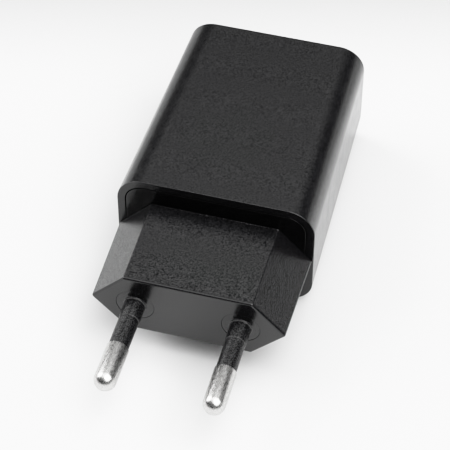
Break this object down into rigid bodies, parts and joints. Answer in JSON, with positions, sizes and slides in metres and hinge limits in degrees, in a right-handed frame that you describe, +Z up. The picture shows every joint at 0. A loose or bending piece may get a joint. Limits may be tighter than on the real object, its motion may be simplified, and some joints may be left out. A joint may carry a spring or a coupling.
{
  "type": "usb wall charger",
  "caption": "Slim wall charger: a rounded, tapering case with a USB port in one end and a flat plug block with round part-insulated pins on the other.",
  "frame": {"origin": "on the surface that the charger lies on, under the middle of its length from pin tips to port end", "axes": "+Z up; +Y along the charger from the pins to the USB port; X across the pins"},
  "size_m": [0.0364, 0.0824, 0.0232],
  "materials": {
    "case_plastic": "fine spark-eroded texture, satin black",
    "cap_plastic": "smooth satin black",
    "plug_plastic": "grained black sides, smooth satin face",
    "pin_metal": "nickel plating with fine lengthwise drawing marks",
    "pin_insulation": "semi-matt black",
    "wire_brown": "smooth insulation",
    "wire_blue": "smooth insulation",
    "board_laminate": "paper laminate with a tan solder mask",
    "board_green": "green solder mask",
    "solder": "bright tin solder",
    "insulation_paper": "thin translucent sheet",
    "chip_epoxy": "moulded epoxy",
    "chip_ceramic": "fired ceramic",
    "resistor_coat": "cement coating",
    "ferrite": "sintered dark grey",
    "bobbin_plastic": "phenolic moulding",
    "winding_copper": "enamelled copper wire",
    "tape_yellow": "polyester tape",
    "lead_metal": "tinned steel wire",
    "can_dark": "shrunk film over an aluminium can",
    "can_green": "shrunk film over an aluminium can",
    "disc_blue": "dipped epoxy",
    "port_steel": "bright nickel-plated sheet",
    "port_insulator": "white moulding",
    "contact_gold": "gold flash over brass"
  },
  "bodies": {
    "charger": {"housing_sleeve": "case_plastic", "end_cap": "cap_plastic", "plug_block": "plug_plastic", "pin_left": "pin_metal", "pin_right": "pin_metal", "pin_sleeve_left": "pin_insulation", "pin_sleeve_right": "pin_insulation", "mains_wire_left": "wire_brown", "mains_wire_right": "wire_blue", "main_board": "board_laminate", "solder_joints": "solder", "insulation_sheet": "insulation_paper", "bridge_rectifier": "chip_epoxy", "fuse_resistor": "resistor_coat", "filter_choke": "ferrite", "mains_capacitor_left": "can_dark", "mains_capacitor_right": "can_dark", "controller_chip": "chip_epoxy", "chip_resistors": "chip_epoxy", "transformer_core_lower": "ferrite", "transformer_core_upper": "ferrite", "transformer_bobbin": "bobbin_plastic", "transformer_winding": "winding_copper", "transformer_pins": "lead_metal", "winding_tape": "tape_yellow", "core_tape": "tape_yellow", "safety_capacitor": "disc_blue", "output_rectifier": "chip_epoxy", "output_capacitor_left": "can_green", "output_capacitor_right": "can_green", "chip_capacitors": "chip_ceramic", "usb_board": "board_green", "usb_shell": "port_steel", "usb_insulator": "port_insulator", "usb_contact_tails": "contact_gold"},
    "usb_contact_1": {"usb_contact_1": "contact_gold"},
    "usb_contact_2": {"usb_contact_2": "contact_gold"},
    "usb_contact_3": {"usb_contact_3": "contact_gold"},
    "usb_contact_4": {"usb_contact_4": "contact_gold"}
  },
  "joints": [
    {"name": "usb_contact_1_flex", "type": "hinge", "parent": "charger", "child": "usb_contact_1", "pos_m": [-0.0035, 0.02915, 0.0114], "axis": [1, 0, 0], "range_deg": [0, 3.5], "stiffness_Nm_per_rad": 0.08},
    {"name": "usb_contact_2_flex", "type": "hinge", "parent": "charger", "child": "usb_contact_2", "pos_m": [-0.001, 0.02915, 0.0114], "axis": [1, 0, 0], "range_deg": [0, 3.5], "stiffness_Nm_per_rad": 0.08},
    {"name": "usb_contact_3_flex", "type": "hinge", "parent": "charger", "child": "usb_contact_3", "pos_m": [0.001, 0.02915, 0.0114], "axis": [1, 0, 0], "range_deg": [0, 3.5], "stiffness_Nm_per_rad": 0.08},
    {"name": "usb_contact_4_flex", "type": "hinge", "parent": "charger", "child": "usb_contact_4", "pos_m": [0.0035, 0.02915, 0.0114], "axis": [1, 0, 0], "range_deg": [0, 3.5], "stiffness_Nm_per_rad": 0.08}
  ],
  "couplings": [
    {"joint": "usb_contact_2_flex", "follows": "usb_contact_1_flex", "ratio": 1},
    {"joint": "usb_contact_3_flex", "follows": "usb_contact_1_flex", "ratio": 1},
    {"joint": "usb_contact_4_flex", "follows": "usb_contact_1_flex", "ratio": 1}
  ]
}
